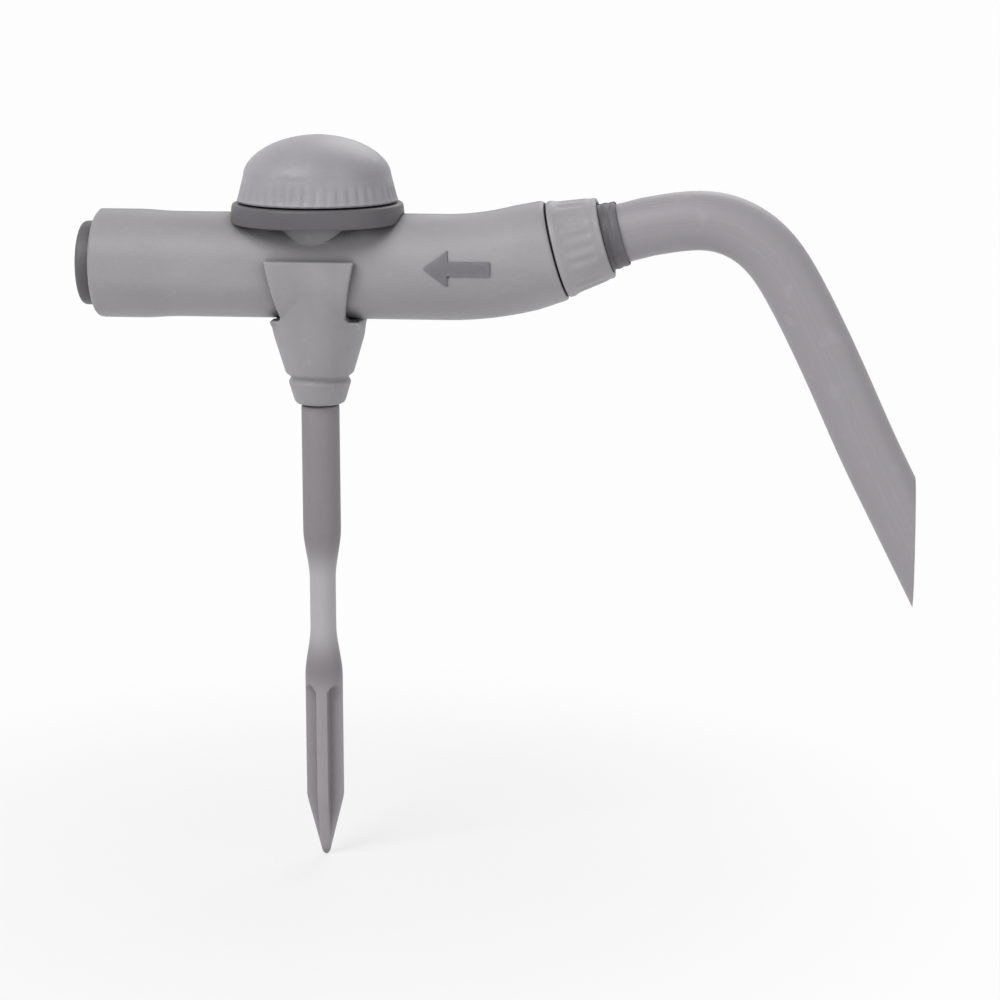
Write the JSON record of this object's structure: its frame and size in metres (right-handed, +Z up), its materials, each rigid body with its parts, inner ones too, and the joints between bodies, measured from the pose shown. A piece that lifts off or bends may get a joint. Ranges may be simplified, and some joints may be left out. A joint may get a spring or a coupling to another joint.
{
  "type": "drip emitter",
  "caption": "Adjustable drip emitter on a ground stake: level barrel with a domed flow knob, needle valve, flush plug, clip saddle, and a slanted inlet with a lock nut and a short supply tube.",
  "frame": {"origin": "the stake's point, on the stake's axis", "axes": "+Z up the stake; the barrel lies along X with its flush plug at -X and its tube inlet at +X; -Y faces the viewer"},
  "size_m": [0.091, 0.0191, 0.0815],
  "materials": {
    "moulded_grey": "moulded polypropylene, light neutral grey",
    "knob_grey": "moulded polypropylene, slightly lighter grey",
    "dark_grey": "moulded polypropylene, dark grey",
    "stake_grey": "moulded polypropylene, mid grey",
    "tube_vinyl": "soft extruded vinyl, grey",
    "white_acetal": "natural acetal",
    "seal_rubber": "black nitrile rubber"
  },
  "bodies": {
    "ground_stake": {"stake": "stake_grey"},
    "emitter": {"stake_saddle": "moulded_grey", "barrel": "moulded_grey", "orifice_seat": "white_acetal", "outlet_o_ring": "seal_rubber", "bonnet": "dark_grey", "bonnet_gasket": "seal_rubber", "stem_o_ring": "seal_rubber", "gland_bush": "white_acetal", "knob_snap_ring": "white_acetal", "strainer": "white_acetal", "inlet_barb": "moulded_grey", "inlet_o_ring": "seal_rubber", "supply_tube": "tube_vinyl"},
    "knob": {"flow_knob": "knob_grey"},
    "needle_stem": {"needle": "white_acetal"},
    "plug": {"flush_plug": "dark_grey", "flush_plug_o_ring": "seal_rubber"},
    "grip": {"grip_ring": "dark_grey"},
    "nut": {"lock_nut": "moulded_grey"}
  },
  "joints": [
    {"name": "head_swivel", "type": "hinge", "parent": "ground_stake", "child": "emitter", "pos_m": [0, 0, 0.052], "axis": [0, 0, 1], "range_deg": [-180, 180]},
    {"name": "knob_turn", "type": "hinge", "parent": "emitter", "child": "knob", "pos_m": [0, 0, 0.076], "axis": [0, 0, 1], "range_deg": [0, 300]},
    {"name": "needle_lift", "type": "slide", "parent": "emitter", "child": "needle_stem", "axis": [0, 0, 1], "range_m": [0, 0.00133]},
    {"name": "plug_pull", "type": "slide", "parent": "emitter", "child": "plug", "axis": [-1, 0, 0], "range_m": [0, 0.012]},
    {"name": "grip_travel", "type": "slide", "parent": "emitter", "child": "grip", "axis": [0.9659, 0, 0.2588], "range_m": [0, 0.0012]},
    {"name": "nut_turn", "type": "hinge", "parent": "grip", "child": "nut", "pos_m": [0.0185, 0, 0.0673], "axis": [0.9659, 0, 0.2588], "range_deg": [0, 270]}
  ],
  "couplings": [
    {"joint": "knob_turn", "follows": "needle_lift", "rad_per_m": 3927},
    {"joint": "nut_turn", "follows": "grip_travel", "rad_per_m": 3927}
  ]
}
